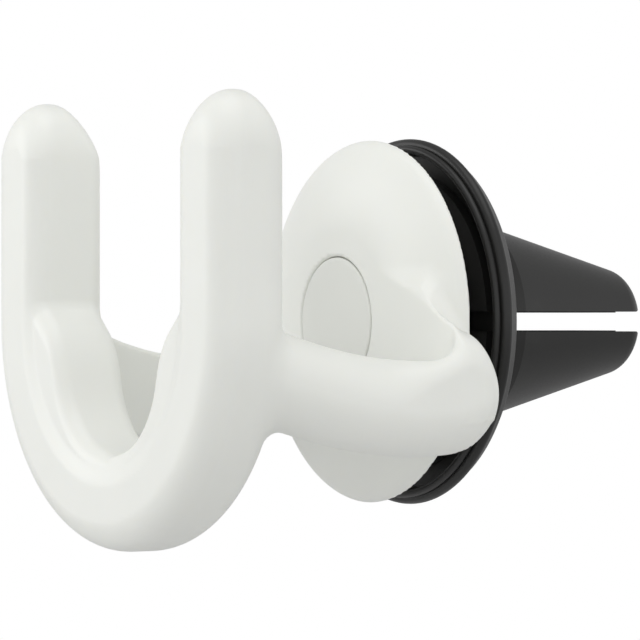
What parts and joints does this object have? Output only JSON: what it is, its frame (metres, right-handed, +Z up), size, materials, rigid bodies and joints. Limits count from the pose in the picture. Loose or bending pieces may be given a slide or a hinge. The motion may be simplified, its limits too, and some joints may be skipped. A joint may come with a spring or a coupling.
{
  "type": "car vent phone mount",
  "caption": "Upright U-shaped hook that holds a phone grip, on a swivelling disc behind which a twist ring drives two half-cone jaws onto a car's vent blade.",
  "frame": {"origin": "On the clip's axis, in the plane of the stop face that meets the vent", "axes": "+Y points into the vent, +Z up along the hook's prongs, +X across; the user looks along +Y"},
  "size_m": [0.0528, 0.0673, 0.0483],
  "materials": {
    "white_moulding": "smooth satin off-white moulded plastic",
    "white_cap": "satin off-white moulded plastic",
    "black_moulding": "satin black moulded plastic",
    "black_rubber": "matt black rubber",
    "plated_steel": "nickel-plated steel",
    "spring_steel": "oiled spring steel",
    "nylon": "natural nylon"
  },
  "bodies": {
    "carrier": {"carrier_plate": "black_moulding", "stud_bush": "nylon", "hub_retainer": "black_moulding", "retainer_screws": "plated_steel"},
    "clamp_ring": {"clamp_ring": "black_moulding"},
    "upper_jaw": {"jaw_upper": "black_moulding", "cam_pin_upper": "plated_steel", "jaw_liner_upper": "black_rubber"},
    "lower_jaw": {"jaw_lower": "black_moulding", "cam_pin_lower": "plated_steel", "jaw_liner_lower": "black_rubber"},
    "swivel_stud": {"ball_stud": "plated_steel", "stud_clip": "spring_steel"},
    "ball_socket": {"socket_cup": "black_moulding", "front_ball_seat": "nylon", "rear_ball_seat": "nylon", "seat_spring": "spring_steel", "seat_plug": "black_moulding", "friction_washer": "nylon", "socket_circlip": "spring_steel"},
    "hook": {"hook_fork": "white_moulding", "hook_dome": "white_moulding", "hook_arm_right": "white_moulding", "hook_arm_left": "white_moulding", "face_cap": "white_cap"}
  },
  "joints": [
    {"name": "ring_twist", "type": "hinge", "parent": "carrier", "child": "clamp_ring", "pos_m": [0, 0, 0], "axis": [0, 1, 0], "range_deg": [-40, 80]},
    {"name": "upper_jaw_slide", "type": "slide", "parent": "carrier", "child": "upper_jaw", "axis": [0, 0, 1], "range_m": [-0.0005, 0.00101]},
    {"name": "lower_jaw_slide", "type": "slide", "parent": "carrier", "child": "lower_jaw", "axis": [0, 0, -1], "range_m": [-0.0005, 0.00101]},
    {"name": "stud_turn", "type": "hinge", "parent": "carrier", "child": "swivel_stud", "pos_m": [0, -0.0075, 0], "axis": [0, 1, 0], "continuous": true},
    {"name": "head_tilt", "type": "hinge", "parent": "swivel_stud", "child": "ball_socket", "pos_m": [0, -0.0075, 0], "axis": [1, 0, 0], "range_deg": [-6, 6]},
    {"name": "hook_spin", "type": "hinge", "parent": "ball_socket", "child": "hook", "pos_m": [0, -0.0075, 0], "axis": [0, 1, 0], "continuous": true}
  ],
  "couplings": [
    {"joint": "upper_jaw_slide", "follows": "ring_twist", "m_per_rad": 0.0007162},
    {"joint": "lower_jaw_slide", "follows": "ring_twist", "m_per_rad": 0.0007162}
  ]
}
